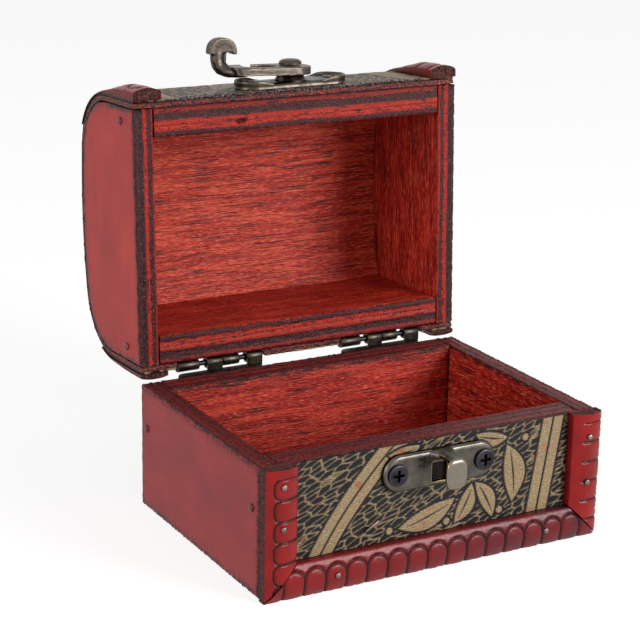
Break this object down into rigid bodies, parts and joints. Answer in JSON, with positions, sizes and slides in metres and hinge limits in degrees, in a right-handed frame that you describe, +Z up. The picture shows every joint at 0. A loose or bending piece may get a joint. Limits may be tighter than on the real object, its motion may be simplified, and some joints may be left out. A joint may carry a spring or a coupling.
{
  "type": "keepsake box",
  "caption": "Small wooden keepsake box: open base, hinged dome lid, carved corner mouldings, embossed paper, and a hook that swings down to hold the lid shut.",
  "frame": {"origin": "middle of the base's flat underside", "axes": "+X to the right seen from the front, +Y to the back, +Z up"},
  "size_m": [0.081, 0.0962, 0.1002],
  "materials": {
    "end_ply": "brownish red stain, sanded, on the ends",
    "red_ply": "orange-red stain with dark grain",
    "dome_veneer": "thin bent sheet, orange-red stain inside",
    "embossed_paper": "embossed paper, charcoal and pale gold",
    "carved_trim": "carved, red stain, burgundy in the cuts",
    "aged_metal": "antique pewter plate, brass showing on the edges",
    "hinge_metal": "aged, dull",
    "steel": "dull grey"
  },
  "bodies": {
    "base": {"base_back_panel": "red_ply", "base_bottom_panel": "red_ply", "base_front_panel": "red_ply", "base_front_paper": "embossed_paper", "base_left_end": "end_ply", "base_left_nail_back": "steel", "base_left_nail_front": "steel", "base_moulding_bottom": "carved_trim", "base_moulding_left": "carved_trim", "base_moulding_right": "carved_trim", "base_right_end": "end_ply", "base_right_nail_back": "steel", "base_right_nail_front": "steel", "catch_plate": "aged_metal", "catch_screw_left": "steel", "catch_screw_right": "steel", "hinge_left_base_leaf": "hinge_metal", "hinge_left_base_nail_a": "steel", "hinge_left_base_nail_b": "steel", "hinge_left_pin": "hinge_metal", "hinge_right_base_leaf": "hinge_metal", "hinge_right_base_nail_a": "steel", "hinge_right_base_nail_b": "steel", "hinge_right_pin": "hinge_metal", "moulding_brad_bottom_left": "steel", "moulding_brad_bottom_right": "steel", "moulding_brad_left_lower": "steel", "moulding_brad_left_upper": "steel", "moulding_brad_right_lower": "steel", "moulding_brad_right_upper": "steel"},
    "lid": {"dome_paper": "embossed_paper", "dome_sheet": "dome_veneer", "hinge_left_lid_leaf": "hinge_metal", "hinge_left_lid_nail_a": "steel", "hinge_left_lid_nail_b": "steel", "hinge_right_lid_leaf": "hinge_metal", "hinge_right_lid_nail_a": "steel", "hinge_right_lid_nail_b": "steel", "hook_rivet": "aged_metal", "latch_plate": "aged_metal", "latch_screw_left": "steel", "latch_screw_right": "steel", "lid_back_panel": "red_ply", "lid_front_panel": "red_ply", "lid_left_end": "end_ply", "lid_left_nail_back": "steel", "lid_left_nail_front": "steel", "lid_moulding_back_left": "carved_trim", "lid_moulding_back_right": "carved_trim", "lid_moulding_front_left": "carved_trim", "lid_moulding_front_right": "carved_trim", "lid_right_end": "end_ply", "lid_right_nail_back": "steel", "lid_right_nail_front": "steel"},
    "hook": {"swing_hook": "aged_metal"}
  },
  "joints": [
    {"name": "lid_hinge", "type": "hinge", "parent": "base", "child": "lid", "pos_m": [0, 0.0294, 0.0299], "axis": [1, 0, 0], "range_deg": [0, 93]},
    {"name": "hook_swing", "type": "hinge", "parent": "lid", "child": "hook", "pos_m": [0.0005, 0.03703, 0.09134], "axis": [0, -0.0523, -0.9986], "range_deg": [-50, 270]}
  ]
}
